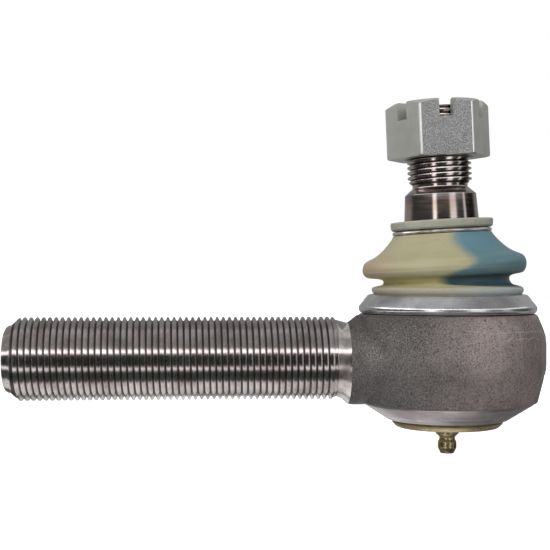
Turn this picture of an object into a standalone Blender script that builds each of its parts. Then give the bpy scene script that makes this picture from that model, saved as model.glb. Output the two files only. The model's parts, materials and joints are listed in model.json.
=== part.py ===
"""Tie rod end of a heavy vehicle: a forged socket on a threaded shank, holding a ball stud.

Frame: the origin is the centre of the shank's end face, +X runs along the shank to the ball
centre, +Z runs up the socket's axis towards the stud. Lengths are written in millimetres and
turned into metres by MM.
"""

import math

import bmesh
import bpy
from mathutils import Matrix, Vector

MM = 0.001
GAP = 0.3

# Driving sizes, in millimetres. Heights are measured from the ball centre.
BALL_X = 152.4
BALL_R = 17.46
STUD_LEAN = math.radians(-2.4)
BOOT_LEAN = math.radians(-3.1)
BOOT_PIVOT = 10.15

SHANK_R = 28.575 / 2
SHANK_LEAD_R = 11.6
SHANK_THREAD_START = 5.0
SHANK_THREAD_END = BALL_X - 40.2

BARREL_R = 33.85
BARREL_TOP = 15.2
BARREL_TOP_R = 30.4
BARREL_DRAFT_BOTTOM = 7.9
BARREL_SIDE_BOTTOM = -3.5
SPIGOT_R = 22.5
SPIGOT_TOP = 17.6
BEVEL_TOP = -15.4
BEVEL_TOP_R = 30.8
LIP_R = 19.7
LIP_BOTTOM = -21.5
NECK_BOTTOM = -16.2

BORE_R = 21.3
SEAT_R = BALL_R + GAP
SEAT_BREAK = 3.2
ROOF = 9.4
THROAT_R = 16.2
THROAT_TOP = 10.5
THROAT_SLOPE = 0.51
PLATE_FLANGE_R = 22.6
PLATE_FLANGE_TOP = -16.7
PLATE_FLANGE_BOTTOM = -19.0
PLATE_WALL_R = 17.0
PLATE_FLOOR = -21.7

STUD_THREAD_R = 22.225 / 2
STUD_NECK_R = 10.5
TAPER_BOTTOM = 42.8
TAPER_BOTTOM_R = 13.225
TAPER_TOP = 56.9
TAPER_RATIO = 1 / 16
STUD_THREAD_BOTTOM = 61.5
STUD_END = 86.9
COTTER_HOLE_R = 2.0
COTTER_HOLE_Z = 81.0

NUT_ACROSS_FLATS = 31.75
NUT_BOTTOM = 69.4
NUT_HEIGHT = 19.05
NUT_SLOT_WIDTH = 4.76
NUT_SLOT_DEPTH = 6.2
NUT_CHAMFER_SLOPE = math.tan(math.radians(30))

BOOT_BOTTOM = 15.6
BOOT_LEAN_START = 23.0
BOOT_LEAN_END = 31.0
BOOT_TOP = 43.0
TOP_RING_R = 17.2
CAP_HOLE_R = 13.7
WASHER_R = 17.8
WASHER_BOTTOM = 44.7
WASHER_TOP = 47.7

FITTING_BORE_R = 1.5
FITTING_HOLE_R = 0.9
FITTING_TOP = -21.6
FITTING_SHOULDER = -22.8
FITTING_TIP = -33.4
CHECK_BALL_R = 1.15
CHECK_BALL_Z = -31.4
CHECK_SPRING_WIRE_R = 0.22
CHECK_SPRING_COIL_R = 1.0
CHECK_SPRING_TURNS = 6

CENTRE_DRILL_R = 3.0


# ------------------------------------------------------------------ helpers

def clear_scene():
    for item in list(bpy.data.objects):
        bpy.data.objects.remove(item, do_unlink=True)


def material(name, colour, roughness, metallic):
    made = bpy.data.materials.new(name)
    made.use_nodes = True
    shader = made.node_tree.nodes["Principled BSDF"]
    shader.inputs["Base Color"].default_value = (*colour, 1.0)
    shader.inputs["Roughness"].default_value = roughness
    shader.inputs["Metallic"].default_value = metallic
    return made


def empty_at(name, height=0.0, lean=0.0):
    """An empty on the socket's axis, at a height above the ball centre, turned about Y by lean."""
    made = bpy.data.objects.new(name, None)
    bpy.context.scene.collection.objects.link(made)
    made.location = (BALL_X * MM, 0.0, height * MM)
    made.rotation_euler = (0.0, lean, 0.0)
    made.empty_display_size = 0.02
    return made


def add_mesh(name, bm, parent=None, surface=None):
    """Links a bmesh as an object with its faces pointing out and its round faces smooth."""
    bmesh.ops.recalc_face_normals(bm, faces=bm.faces[:])
    mesh = bpy.data.meshes.new(name)
    bm.to_mesh(mesh)
    bm.free()
    made = bpy.data.objects.new(name, mesh)
    bpy.context.scene.collection.objects.link(made)
    made.parent = parent
    if surface:
        mesh.materials.append(surface)
    mesh.shade_smooth()
    mesh.set_sharp_from_angle(angle=math.radians(30))
    return made


def spun(outline, closed, segments):
    """A bmesh turned about Z from (radius, height) points in millimetres."""
    bm = bmesh.new()
    points = [bm.verts.new((r * MM, 0.0, z * MM)) for r, z in outline]
    edges = [bm.edges.new(pair) for pair in zip(points, points[1:])]
    if closed:
        edges.append(bm.edges.new((points[-1], points[0])))
    bmesh.ops.spin(
        bm, geom=points + edges, cent=(0, 0, 0), axis=(0, 0, 1),
        angle=2 * math.pi, steps=segments, use_merge=True,
    )
    bmesh.ops.remove_doubles(bm, verts=bm.verts[:], dist=1e-7)
    return bm


def turned(name, outline, parent, surface, closed=True, segments=40):
    """A turned piece: a ring if the outline is closed, a solid if it runs from axis to axis."""
    return add_mesh(name, spun(outline, closed, segments), parent, surface)


def arc(radius, start, end, steps, centre=0.0):
    """(radius, height) points on a sphere about (0, centre), by angle above the equator."""
    angles = [math.radians(start + (end - start) * i / steps) for i in range(steps + 1)]
    return [(radius * math.cos(a), centre + radius * math.sin(a)) for a in angles]


def latitude(radius, z):
    """The angle above the equator, in degrees, of height z on a sphere."""
    return math.degrees(math.asin(z / radius))


def latitude_at_radius(radius, r):
    """The angle above the equator, in degrees, where a sphere is r from its axis."""
    return math.degrees(math.acos(r / radius))


def apply_boolean(target, tool, operation):
    """Adds an exact Boolean and turns its tool into a hidden guide."""
    tool.hide_render = True
    tool.display_type = "WIRE"
    modifier = target.modifiers.new(operation.title() + " " + tool.name, "BOOLEAN")
    modifier.operation = operation
    modifier.solver = "EXACT"
    modifier.object = tool


def drill_centre(target, parent, place, turn):
    """Cuts the lathe centre's 60 degree cone into a turned end at place, given in millimetres."""
    over = 1.0
    depth = CENTRE_DRILL_R * math.sqrt(3)
    bm = bmesh.new()
    bmesh.ops.create_cone(
        bm, cap_ends=True, segments=16, radius1=CENTRE_DRILL_R * (1 + over / depth) * MM,
        radius2=0.8 * MM, depth=(depth + over) * MM,
        matrix=Matrix.Translation((0.0, 0.0, (depth - over) / 2 * MM)),
    )
    cone = add_mesh(target.name + "_centre_guide", bm, parent)
    cone.location = Vector(place) * MM
    cone.rotation_euler = (0.0, turn, 0.0)
    apply_boolean(target, cone, "DIFFERENCE")


# ------------------------------------------------------------------ housing

def barrel_outline():
    return [
        (0, SPIGOT_TOP),
        (SPIGOT_R - 0.5, SPIGOT_TOP),
        (SPIGOT_R, SPIGOT_TOP - 0.5),
        (SPIGOT_R, BARREL_TOP),
        (BARREL_TOP_R, BARREL_TOP),
        (BARREL_TOP_R + 0.6, BARREL_TOP - 0.6),
        (BARREL_R, BARREL_DRAFT_BOTTOM),
        (BARREL_R, BARREL_SIDE_BOTTOM),
        (BEVEL_TOP_R, BEVEL_TOP),
        (LIP_R + 0.6, LIP_BOTTOM),
        (0, LIP_BOTTOM),
    ]


def bore_outline():
    over = 1.0
    flare_top = SPIGOT_TOP + over
    return [
        (0, flare_top),
        (THROAT_R + THROAT_SLOPE * (flare_top - THROAT_TOP), flare_top),
        (THROAT_R, THROAT_TOP),
        (THROAT_R, ROOF),
        (THROAT_R + 1.0, ROOF),
        (BORE_R, SEAT_BREAK),
        (BORE_R, PLATE_FLANGE_TOP + GAP),
        (PLATE_FLANGE_R + GAP, PLATE_FLANGE_TOP + GAP),
        (PLATE_FLANGE_R + GAP, PLATE_FLANGE_BOTTOM - GAP),
        (LIP_R, PLATE_FLANGE_BOTTOM - GAP),
        (LIP_R, LIP_BOTTOM - over),
        (0, LIP_BOTTOM - over),
    ]


def shank_sections():
    """(x, top, bottom, half width) along the shank and the forged neck."""
    round_part = [
        (0.0, SHANK_LEAD_R - 1.2),
        (1.2, SHANK_LEAD_R),
        (2.0, SHANK_LEAD_R),
        (SHANK_THREAD_START, SHANK_R),
        (SHANK_THREAD_END, SHANK_R),
        (SHANK_THREAD_END + 0.9, SHANK_R - 0.95),
    ]
    neck = [
        (-37.8, 12.9, -13.6, 13.4),
        (-35.6, 12.2, -15.9, 14.2),
        (-34.3, 12.7, NECK_BOTTOM, 15.1),
        (-33.0, 13.8, NECK_BOTTOM, 16.4),
        (-31.7, 14.9, NECK_BOTTOM, 17.9),
        (-29.0, 15.0, NECK_BOTTOM, 20.0),
        (-24.0, 15.0, NECK_BOTTOM, 23.6),
    ]
    sections = [(x, r, -r, r) for x, r in round_part]
    return sections + [(BALL_X + x, top, low, half) for x, top, low, half in neck]


def shank_bmesh(segments=40):
    """Oval sections about the shank's axis, joined end to end and closed with flat faces."""
    bm = bmesh.new()
    rings = []
    for x, top, bottom, half in shank_sections():
        middle = (top + bottom) / 2
        height = (top - bottom) / 2
        turns = [2 * math.pi * i / segments for i in range(segments)]
        points = [(x, half * math.cos(t), middle + height * math.sin(t)) for t in turns]
        rings.append([bm.verts.new(Vector(p) * MM) for p in points])
    for one, two in zip(rings, rings[1:]):
        for i in range(segments):
            j = (i + 1) % segments
            bm.faces.new((one[i], one[j], two[j], two[i]))
    bm.faces.new(rings[0])
    bm.faces.new(rings[-1])
    return bm


def make_housing(socket, surface):
    housing = turned("housing", barrel_outline(), socket, surface, closed=False, segments=48)
    shank = add_mesh("shank_guide", shank_bmesh())
    bore = turned("bore_guide", bore_outline(), socket, None, closed=False, segments=48)
    apply_boolean(housing, shank, "UNION")
    apply_boolean(housing, bore, "DIFFERENCE")
    drill_centre(housing, None, (0.0, 0.0, 0.0), math.pi / 2)


# ------------------------------------------------------------------ inside the socket

def make_upper_bearing(socket, surface):
    top = ROOF - 0.4
    bottom = 0.6
    low = latitude(SEAT_R, bottom)
    high = latitude(SEAT_R, top)
    seat = arc(SEAT_R, low, high, 5)
    outside = [(THROAT_R + 0.8, top), (BORE_R - GAP, SEAT_BREAK - 0.2), (BORE_R - GAP, bottom)]
    turned("upper_bearing", seat + outside, socket, surface)


def make_lower_bearing(socket, surface):
    top = -0.6
    foot_r = PLATE_WALL_R - 0.4
    grease_hole_r = 2.5
    seat = arc(SEAT_R, latitude(SEAT_R, top), -latitude_at_radius(SEAT_R, grease_hole_r), 9)
    outside = [
        (grease_hole_r, -19.5),
        (foot_r - 2.0, -19.5),
        (foot_r, -17.8),
        (foot_r, PLATE_FLANGE_TOP + 0.6),
        (BORE_R - GAP, PLATE_FLANGE_TOP + 1.8),
        (BORE_R - GAP, top),
    ]
    turned("lower_bearing", seat + outside, socket, surface)


def make_preload_spring(socket, surface):
    """A conical disc spring: its rim rests on the cover plate, its hole pushes the bearing."""
    outline = [(5.2, -19.8), (15.0, -20.7), (14.8, -21.4), (5.0, -20.5)]
    turned("preload_spring", outline, socket, surface)


def make_cover_plate(socket, surface):
    outline = [
        (3.45, PLATE_FLOOR),
        (PLATE_WALL_R - 0.7, PLATE_FLOOR),
        (PLATE_WALL_R, PLATE_FLOOR + 0.7),
        (PLATE_WALL_R, PLATE_FLANGE_TOP),
        (PLATE_FLANGE_R, PLATE_FLANGE_TOP),
        (PLATE_FLANGE_R, PLATE_FLANGE_BOTTOM),
        (LIP_R - GAP, PLATE_FLANGE_BOTTOM),
        (LIP_R - GAP, -21.9),
        (18.9, -22.9),
        (17.7, -24.0),
        (3.45, -24.4),
    ]
    turned("cover_plate", outline, socket, surface)


# ------------------------------------------------------------------ grease fitting

def make_grease_fitting(socket, surface):
    outline = [
        (FITTING_HOLE_R, FITTING_TOP),
        (FITTING_HOLE_R, FITTING_SHOULDER),
        (FITTING_BORE_R, FITTING_SHOULDER),
        (FITTING_BORE_R, -31.7),
        (0.75, -32.5),
        (0.75, FITTING_TIP),
        (2.45, FITTING_TIP),
        (3.3, -31.2),
        (3.3, -29.6),
        (2.8, -28.5),
        (2.8, -27.9),
        (4.05, -26.4),
        (4.05, -24.7),
        (3.15, -24.7),
        (3.15, FITTING_TOP),
    ]
    turned("grease_fitting", outline, socket, surface, segments=24)


def make_check_ball(socket, surface):
    bm = bmesh.new()
    bmesh.ops.create_uvsphere(bm, u_segments=12, v_segments=8, radius=CHECK_BALL_R * MM)
    ball = add_mesh("grease_check_ball", bm, socket, surface)
    ball.location = (0.0, 0.0, CHECK_BALL_Z * MM)


def make_check_spring(socket, surface):
    """A fine coil between the check ball and the shoulder inside the fitting."""
    points_per_turn = 10
    bottom = -30.2
    top = FITTING_SHOULDER - 0.4
    count = CHECK_SPRING_TURNS * points_per_turn
    curve = bpy.data.curves.new("grease_check_spring", "CURVE")
    curve.dimensions = "3D"
    curve.bevel_depth = CHECK_SPRING_WIRE_R * MM
    curve.bevel_resolution = 0
    curve.use_fill_caps = True
    spline = curve.splines.new("POLY")
    spline.points.add(count)
    for i, point in enumerate(spline.points):
        turn = 2 * math.pi * i / points_per_turn
        x = CHECK_SPRING_COIL_R * math.cos(turn)
        y = CHECK_SPRING_COIL_R * math.sin(turn)
        z = bottom + (top - bottom) * i / count
        point.co = (x * MM, y * MM, z * MM, 1.0)
    curve.materials.append(surface)
    spring = bpy.data.objects.new("grease_check_spring", curve)
    bpy.context.scene.collection.objects.link(spring)
    spring.parent = socket


# ------------------------------------------------------------------ stud and nut

def taper_radius(z):
    return TAPER_BOTTOM_R - (z - TAPER_BOTTOM) * TAPER_RATIO


def make_ball_stud(stud, surface):
    flat_r = 7.0
    low = -latitude_at_radius(BALL_R, flat_r)
    high = latitude_at_radius(BALL_R, STUD_NECK_R)
    ball = arc(BALL_R, low, high, 14)
    above = [
        (STUD_NECK_R, 24.0),
        (STUD_NECK_R + 0.8, 30.0),
        (TAPER_BOTTOM_R, 38.5),
        (TAPER_BOTTOM_R, TAPER_BOTTOM),
        (taper_radius(TAPER_TOP), TAPER_TOP),
        (9.55, 58.7),
        (9.55, 60.4),
        (STUD_THREAD_R, STUD_THREAD_BOTTOM),
        (STUD_THREAD_R, STUD_END - 1.2),
        (STUD_THREAD_R - 1.2, STUD_END),
        (0, STUD_END),
    ]
    outline = [(0, ball[0][1])] + ball + above
    made = turned("ball_stud", outline, stud, surface, closed=False, segments=40)
    bm = bmesh.new()
    bmesh.ops.create_cone(
        bm, cap_ends=True, segments=12, radius1=COTTER_HOLE_R * MM,
        radius2=COTTER_HOLE_R * MM, depth=3 * STUD_THREAD_R * MM,
        matrix=Matrix.Rotation(math.pi / 2, 4, "X"),
    )
    hole = add_mesh("cotter_hole_guide", bm, stud)
    hole.location = (0.0, 0.0, COTTER_HOLE_Z * MM)
    apply_boolean(made, hole, "DIFFERENCE")
    drill_centre(made, stud, (0.0, 0.0, STUD_END), math.pi)


def nut_chamfer_outline():
    """The turned body that takes the hexagon's corners off, more at the top than below."""
    top = NUT_BOTTOM + NUT_HEIGHT
    top_r = NUT_ACROSS_FLATS / 2 - 0.5
    low_r = NUT_ACROSS_FLATS / 2 + 1.5
    full_r = NUT_ACROSS_FLATS / 2 + 3.0
    return [
        (0, top),
        (top_r, top),
        (full_r, top - (full_r - top_r) * NUT_CHAMFER_SLOPE),
        (full_r, NUT_BOTTOM + (full_r - low_r) * NUT_CHAMFER_SLOPE),
        (low_r, NUT_BOTTOM),
        (0, NUT_BOTTOM),
    ]


def make_castle_nut(stud, surface):
    middle = NUT_BOTTOM + NUT_HEIGHT / 2
    top = NUT_BOTTOM + NUT_HEIGHT
    corner_r = NUT_ACROSS_FLATS / 2 / math.cos(math.pi / 6)
    nut = turned("castle_nut", nut_chamfer_outline(), stud, surface, closed=False, segments=48)
    bm = bmesh.new()
    bmesh.ops.create_cone(
        bm, cap_ends=True, segments=6, radius1=corner_r * MM, radius2=corner_r * MM,
        depth=(NUT_HEIGHT + 4) * MM, matrix=Matrix.Rotation(math.pi / 6, 4, "Z"),
    )
    hexagon = add_mesh("nut_hexagon_guide", bm, stud)
    hexagon.location = (0.0, 0.0, middle * MM)
    apply_boolean(nut, hexagon, "INTERSECT")
    hole_r = STUD_THREAD_R + GAP
    bore = [
        (0, top + 1),
        (hole_r + 1.6, top + 1),
        (hole_r, top - 0.6),
        (hole_r, NUT_BOTTOM + 0.6),
        (hole_r + 1.6, NUT_BOTTOM - 1),
        (0, NUT_BOTTOM - 1),
    ]
    guide = turned("nut_bore_guide", bore, stud, None, closed=False, segments=36)
    apply_boolean(nut, guide, "DIFFERENCE")
    for number in range(3):
        bm = bmesh.new()
        size = (NUT_SLOT_WIDTH, 3 * NUT_ACROSS_FLATS / 2, 2 * NUT_SLOT_DEPTH)
        bmesh.ops.create_cube(bm, size=MM, matrix=Matrix.Diagonal((*size, 1.0)))
        slot = add_mesh(f"nut_slot_guide_{number}", bm, stud)
        slot.location = (0.0, 0.0, top * MM)
        slot.rotation_euler = (0.0, 0.0, number * math.pi / 3)
        apply_boolean(nut, slot, "DIFFERENCE")


# ------------------------------------------------------------------ boot and its rings

def boot_outline():
    outside = [
        (28.3, BOOT_BOTTOM), (28.3, 16.8), (25.5, 20.4), (25.5, 22.2), (26.1, 22.9),
        (26.1, 24.2), (24.6, 24.9), (22.4, 25.3), (21.7, 26.4), (22.6, 27.6),
        (26.7, 28.6), (28.0, 30.2), (28.3, 32.0), (27.3, 34.4), (23.6, 36.1),
        (21.1, 38.1), (18.2, 41.1), (17.1, BOOT_TOP),
    ]
    inside = [
        (13.6, BOOT_TOP), (13.6, 40.6), (16.4, 39.6), (19.2, 36.6), (22.0, 34.3),
        (25.4, 33.2), (26.0, 32.0), (25.6, 30.8), (20.5, 29.6), (19.4, 27.2),
        (19.4, 25.6), (22.8, 22.6), (22.8, BOOT_BOTTOM),
    ]
    return outside + inside


def make_dust_boot(socket, surface):
    """The boot stands square on the socket and turns over to the stud's lean above."""
    bm = spun(boot_outline(), True, 40)
    pivot = Vector((0.0, 0.0, BOOT_PIVOT * MM))
    for vert in bm.verts:
        rise = (vert.co.z / MM - BOOT_LEAN_START) / (BOOT_LEAN_END - BOOT_LEAN_START)
        share = min(1.0, max(0.0, rise))
        share = share * share * (3 - 2 * share)
        vert.co = pivot + Matrix.Rotation(BOOT_LEAN * share, 3, "Y") @ (vert.co - pivot)
    add_mesh("dust_boot", bm, socket, surface)


def make_retainer_ring(socket, surface):
    """A conical sheet ring with a rolled lip, which holds the boot's flange on the socket."""
    outline = [
        (29.8, 15.55), (30.6, 16.0), (30.85, 16.8), (30.5, 17.6), (27.4, 21.8), (26.8, 22.0),
        (26.0, 21.8), (29.1, 17.4), (29.3, 16.0),
    ]
    turned("boot_retainer_ring", outline, socket, surface, segments=48)


def make_top_ring(boot_top, surface):
    top = WASHER_BOTTOM - GAP - BOOT_PIVOT
    bottom = BOOT_TOP + GAP - BOOT_PIVOT
    outline = [
        (CAP_HOLE_R, bottom), (TOP_RING_R - 0.3, bottom), (TOP_RING_R, bottom + 0.3),
        (TOP_RING_R, top - 0.3), (TOP_RING_R - 0.3, top), (CAP_HOLE_R, top),
    ]
    turned("boot_top_ring", outline, boot_top, surface)


def make_seal_washer(boot_top, surface):
    bottom = WASHER_BOTTOM - BOOT_PIVOT
    top = WASHER_TOP - BOOT_PIVOT
    outline = [
        (CAP_HOLE_R, bottom), (WASHER_R - 0.8, bottom), (WASHER_R, bottom + 0.6),
        (WASHER_R, top - 0.4), (WASHER_R - 0.4, top), (CAP_HOLE_R, top),
    ]
    turned("boot_seal_washer", outline, boot_top, surface)


def main():
    clear_scene()
    forged = material("forged_steel", (0.16, 0.14, 0.13), 0.45, 0.9)
    polished = material("polished_steel", (0.35, 0.33, 0.32), 0.22, 1.0)
    bright = material("bright_steel", (0.55, 0.54, 0.52), 0.3, 1.0)
    spring_steel = material("spring_steel", (0.3, 0.3, 0.32), 0.35, 1.0)
    white_zinc = material("white_zinc", (0.55, 0.56, 0.52), 0.32, 0.95)
    yellow_zinc = material("yellow_zinc", (0.5, 0.4, 0.18), 0.35, 0.9)
    bearing_steel = material("bearing_steel", (0.38, 0.36, 0.33), 0.4, 0.9)
    rubber = material("boot_rubber", (0.16, 0.3, 0.36), 0.5, 0.0)
    seal_rubber = material("seal_rubber", (0.45, 0.43, 0.3), 0.6, 0.0)

    socket = empty_at("socket_axis")
    stud = empty_at("stud_axis", lean=STUD_LEAN)
    boot_top = empty_at("boot_top_axis", BOOT_PIVOT, BOOT_LEAN)

    make_housing(socket, forged)
    make_upper_bearing(socket, bearing_steel)
    make_lower_bearing(socket, bearing_steel)
    make_preload_spring(socket, spring_steel)
    make_cover_plate(socket, yellow_zinc)
    make_grease_fitting(socket, yellow_zinc)
    make_check_ball(socket, bright)
    make_check_spring(socket, spring_steel)
    make_retainer_ring(socket, white_zinc)
    make_dust_boot(socket, rubber)
    make_top_ring(boot_top, bright)
    make_seal_washer(boot_top, seal_rubber)
    make_ball_stud(stud, polished)
    make_castle_nut(stud, white_zinc)


main()
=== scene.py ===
import json
import math

import bmesh
import bpy
from mathutils import Matrix, Vector


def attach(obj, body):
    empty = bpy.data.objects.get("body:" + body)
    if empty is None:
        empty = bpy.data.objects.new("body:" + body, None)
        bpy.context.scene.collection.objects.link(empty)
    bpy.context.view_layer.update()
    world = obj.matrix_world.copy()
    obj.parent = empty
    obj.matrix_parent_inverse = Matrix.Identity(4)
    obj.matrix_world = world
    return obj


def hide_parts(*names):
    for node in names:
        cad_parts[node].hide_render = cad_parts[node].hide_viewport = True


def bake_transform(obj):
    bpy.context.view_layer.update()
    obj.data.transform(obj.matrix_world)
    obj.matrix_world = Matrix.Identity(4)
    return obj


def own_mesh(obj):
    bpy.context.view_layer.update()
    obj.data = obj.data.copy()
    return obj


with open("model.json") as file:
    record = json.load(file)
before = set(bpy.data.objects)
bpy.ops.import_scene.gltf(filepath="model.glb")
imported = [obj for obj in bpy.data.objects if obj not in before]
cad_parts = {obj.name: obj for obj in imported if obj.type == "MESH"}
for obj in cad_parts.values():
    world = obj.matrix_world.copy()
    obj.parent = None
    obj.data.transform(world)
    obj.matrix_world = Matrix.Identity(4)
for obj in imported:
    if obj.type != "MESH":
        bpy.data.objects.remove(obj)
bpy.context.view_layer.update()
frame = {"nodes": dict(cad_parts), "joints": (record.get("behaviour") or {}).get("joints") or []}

# Looks of the tie rod end. Lengths are in millimetres until a mesh is made, and heights on the
# socket and the stud are measured from the ball centre, as in the CAD.

MM = 0.001

JOINTS = {joint["name"]: joint for joint in frame["joints"]}
BALL = Vector(JOINTS["stud_spin"]["pos_m"])
STUD_AXIS = Vector(JOINTS["stud_spin"]["axis"])
LEAN = math.atan2(STUD_AXIS.x, STUD_AXIS.z)
SOCKET = Matrix.Translation(BALL)
STUD = Matrix.Translation(BALL) @ Matrix.Rotation(LEAN, 4, "Y")
BALL_X = BALL.x / MM
BOOT_LEAN = math.radians(-3.1)
BOOT_PIVOT = Matrix.Translation((0, 0, 10.15 * MM))
BOOT_RIM = SOCKET @ BOOT_PIVOT @ Matrix.Rotation(BOOT_LEAN, 4, "Y") @ BOOT_PIVOT.inverted()

SHANK_R = 28.575 / 2
SHANK_PITCH = 25.4 / 12
SHANK_DEPTH = 1.28
SHANK_THREAD_END = BALL_X - 40.2
STUD_R = 22.225 / 2
STUD_PITCH = 25.4 / 14
STUD_DEPTH = 1.08
STUD_END = 86.9

BARREL_R = 33.85
BARREL_TOP = 15.2
BARREL_TOP_R = 30.4
SPIGOT_R = 22.5
SPIGOT_TOP = 17.6
BEVEL_TOP = -15.4
BEVEL_TOP_R = 30.8
LIP_R = 19.7
LIP_BOTTOM = -21.5
NECK_BOTTOM = -16.2
NECK_FROM = -35.0
BORE_R = 21.3
FLAT_TURN = math.radians(-16)
FLAT_TILT = math.radians(9)
FLAT_OFF = 3.7

NUT_BOTTOM = 69.4
NUT_TOP = NUT_BOTTOM + 19.05
NUT_FLATS = 31.75
NUT_EDGE_R = 1.2
SLOT_WIDTH = 4.76
SLOT_DEPTH = 6.2

PRELOAD_SEAT = -21.4
PRELOAD_HEIGHT = 1.6
CHECK_SPRING_SEAT = -23.2
CHECK_SPRING_HEIGHT = 7.0


# ------------------------------------------------------------------ mesh helpers

def finish_mesh(name, bm, place, sharp=35.0):
    """Makes the bmesh, drawn in millimetres, an object with smooth faces and sharp corners."""
    bmesh.ops.remove_doubles(bm, verts=bm.verts[:], dist=1e-4)
    bmesh.ops.recalc_face_normals(bm, faces=bm.faces[:])
    mesh = bpy.data.meshes.new(name)
    bm.to_mesh(mesh)
    bm.free()
    mesh.transform(place @ Matrix.Scale(MM, 4))
    mesh.shade_smooth()
    mesh.set_sharp_from_angle(angle=math.radians(sharp))
    made = bpy.data.objects.new(name, mesh)
    bpy.context.scene.collection.objects.link(made)
    return made


def filleted(points, closed):
    """(r, z, fillet) corners as (r, z) points, with each corner rounded to its fillet radius."""
    result = []
    count = len(points)
    for i, (r, z, radius) in enumerate(points):
        inner = closed or 0 < i < count - 1
        if radius <= 0 or not inner:
            result.append((r, z))
            continue
        corner = Vector((r, z))
        before = Vector(points[i - 1][:2]) - corner
        after = Vector(points[(i + 1) % count][:2]) - corner
        half = before.angle(after) / 2
        reach = min(radius / math.tan(half), before.length * 0.48, after.length * 0.48)
        size = reach * math.tan(half)
        centre = corner + (before.normalized() + after.normalized()).normalized() * size / math.sin(half)
        start = corner + before.normalized() * reach - centre
        end = corner + after.normalized() * reach - centre
        sweep = start.angle_signed(end)
        steps = max(2, round(math.degrees(abs(sweep)) / 12))
        for k in range(steps + 1):
            turned = start.copy()
            turned.rotate(Matrix.Rotation(-sweep * k / steps, 2))
            result.append(tuple(centre + turned))
    return result


def arc(radius, start, end, steps, centre=0.0):
    """(r, z, 0) points on a sphere about (0, centre), by angle above the equator in degrees."""
    angles = [math.radians(start + (end - start) * i / steps) for i in range(steps + 1)]
    return [(radius * math.cos(a), centre + radius * math.sin(a), 0) for a in angles]


def flowing(points, steps):
    """A smooth curve through (r, z) points, as (r, z) points."""
    result = []
    for i in range(len(points) - 1):
        a = Vector(points[max(i - 1, 0)])
        b = Vector(points[i])
        c = Vector(points[i + 1])
        d = Vector(points[min(i + 2, len(points) - 1)])
        for k in range(steps):
            t = k / steps
            bend = (2 * a - 5 * b + 4 * c - d) * t * t + (3 * b - a - 3 * c + d) * t * t * t
            result.append(tuple((2 * b + (c - a) * t + bend) / 2))
    result.append(tuple(points[-1]))
    return result


def ring_faces(bm, one, two, closed=True):
    """Joins two rings of vertices, either of which may be a single point on the axis."""
    count = max(len(one), len(two))
    for i in range(count if closed else count - 1):
        j = (i + 1) % count
        corners = [one[i % len(one)], one[j % len(one)], two[j % len(two)], two[i % len(two)]]
        corners = list(dict.fromkeys(corners))
        if len(corners) > 2:
            bm.faces.new(corners)


def lathe_bmesh(outline, closed, segments):
    """Turns (r, z) points about Z."""
    bm = bmesh.new()
    rings = []
    for r, z in outline:
        steps = segments if r > 1e-6 else 1
        turns = [2 * math.pi * i / segments for i in range(steps)]
        rings.append([bm.verts.new((r * math.cos(t), r * math.sin(t), z)) for t in turns])
    for one, two in zip(rings, rings[1:]):
        ring_faces(bm, one, two)
    if closed:
        ring_faces(bm, rings[-1], rings[0])
    return bm


def lathe(name, points, place, closed=True, segments=128, sharp=35.0):
    """A turned piece from (r, z, fillet) corners."""
    return finish_mesh(name, lathe_bmesh(filleted(points, closed), closed, segments), place, sharp)


def at(table, x):
    """Straight-line interpolation in a list of (x, value...) rows, as a list of values."""
    if x <= table[0][0]:
        return list(table[0][1:])
    for low, high in zip(table, table[1:]):
        if x <= high[0]:
            t = (x - low[0]) / (high[0] - low[0])
            return [a + (b - a) * t for a, b in zip(low[1:], high[1:])]
    return list(table[-1][1:])


ROOT_SHARE = 0.16
FLANK_SHARE = 0.62
EDGE_SOFTNESS = 0.08


def thread_profile(major, depth, steps):
    """Radii over one pitch: flat crest, 60 degree flanks with softened edges, narrow root."""
    radii = []
    for k in range(steps):
        t = abs(k / steps - 0.5) * 2
        rise = min(1.0, max(0.0, (t - ROOT_SHARE) / FLANK_SHARE))
        rise -= EDGE_SOFTNESS * math.sin(2 * math.pi * rise)
        radii.append(major - depth * (1 - rise))
    return radii


def threaded_rod(name, place, envelope, thread, end_s, major, depth, pitch, segments, steps):
    """A rod along Z whose rows follow the helix, so that each crest is a clean line.

    envelope is (s, z, r) rows along the outline, thread is (first s, last s, fade) of the thread.
    """
    bm = bmesh.new()
    radii = thread_profile(major, depth, steps)
    first, last, fade = thread
    start_s = envelope[0][0] - pitch
    rows = math.ceil((end_s - start_s) / pitch * steps) + steps
    grid = []
    for k in range(rows):
        row = []
        for j in range(segments):
            s = start_s + (k / steps + j / segments) * pitch
            z, r = at(envelope, s)
            depth_share = min(1.0, max(0.0, (last - s) / fade))
            cut = major - (major - radii[k % steps]) * depth_share
            if first < s < last:
                r = min(r, cut)
            turn = 2 * math.pi * j / segments
            row.append(bm.verts.new((r * math.cos(turn), r * math.sin(turn), z)))
        grid.append(row)
    for k in range(rows - 1):
        for j in range(segments - 1):
            bm.faces.new((grid[k][j], grid[k][j + 1], grid[k + 1][j + 1], grid[k + 1][j]))
        if k + 1 + steps < rows:
            j = segments - 1
            bm.faces.new((grid[k][j], grid[k + steps][0], grid[k + 1 + steps][0], grid[k + 1][j]))
    bmesh.ops.remove_doubles(bm, verts=bm.verts[:], dist=2e-3)
    bmesh.ops.dissolve_degenerate(bm, edges=bm.edges[:], dist=1e-4)
    return finish_mesh(name, bm, place, 50.0)


def boolean(target, tool, operation):
    """Applies an exact Boolean to the target and removes its tool."""
    modifier = target.modifiers.new("cut", "BOOLEAN")
    modifier.operation = operation
    modifier.solver = "EXACT"
    modifier.object = tool
    bake_modifiers(target)
    bpy.data.objects.remove(tool, do_unlink=True)


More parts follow.
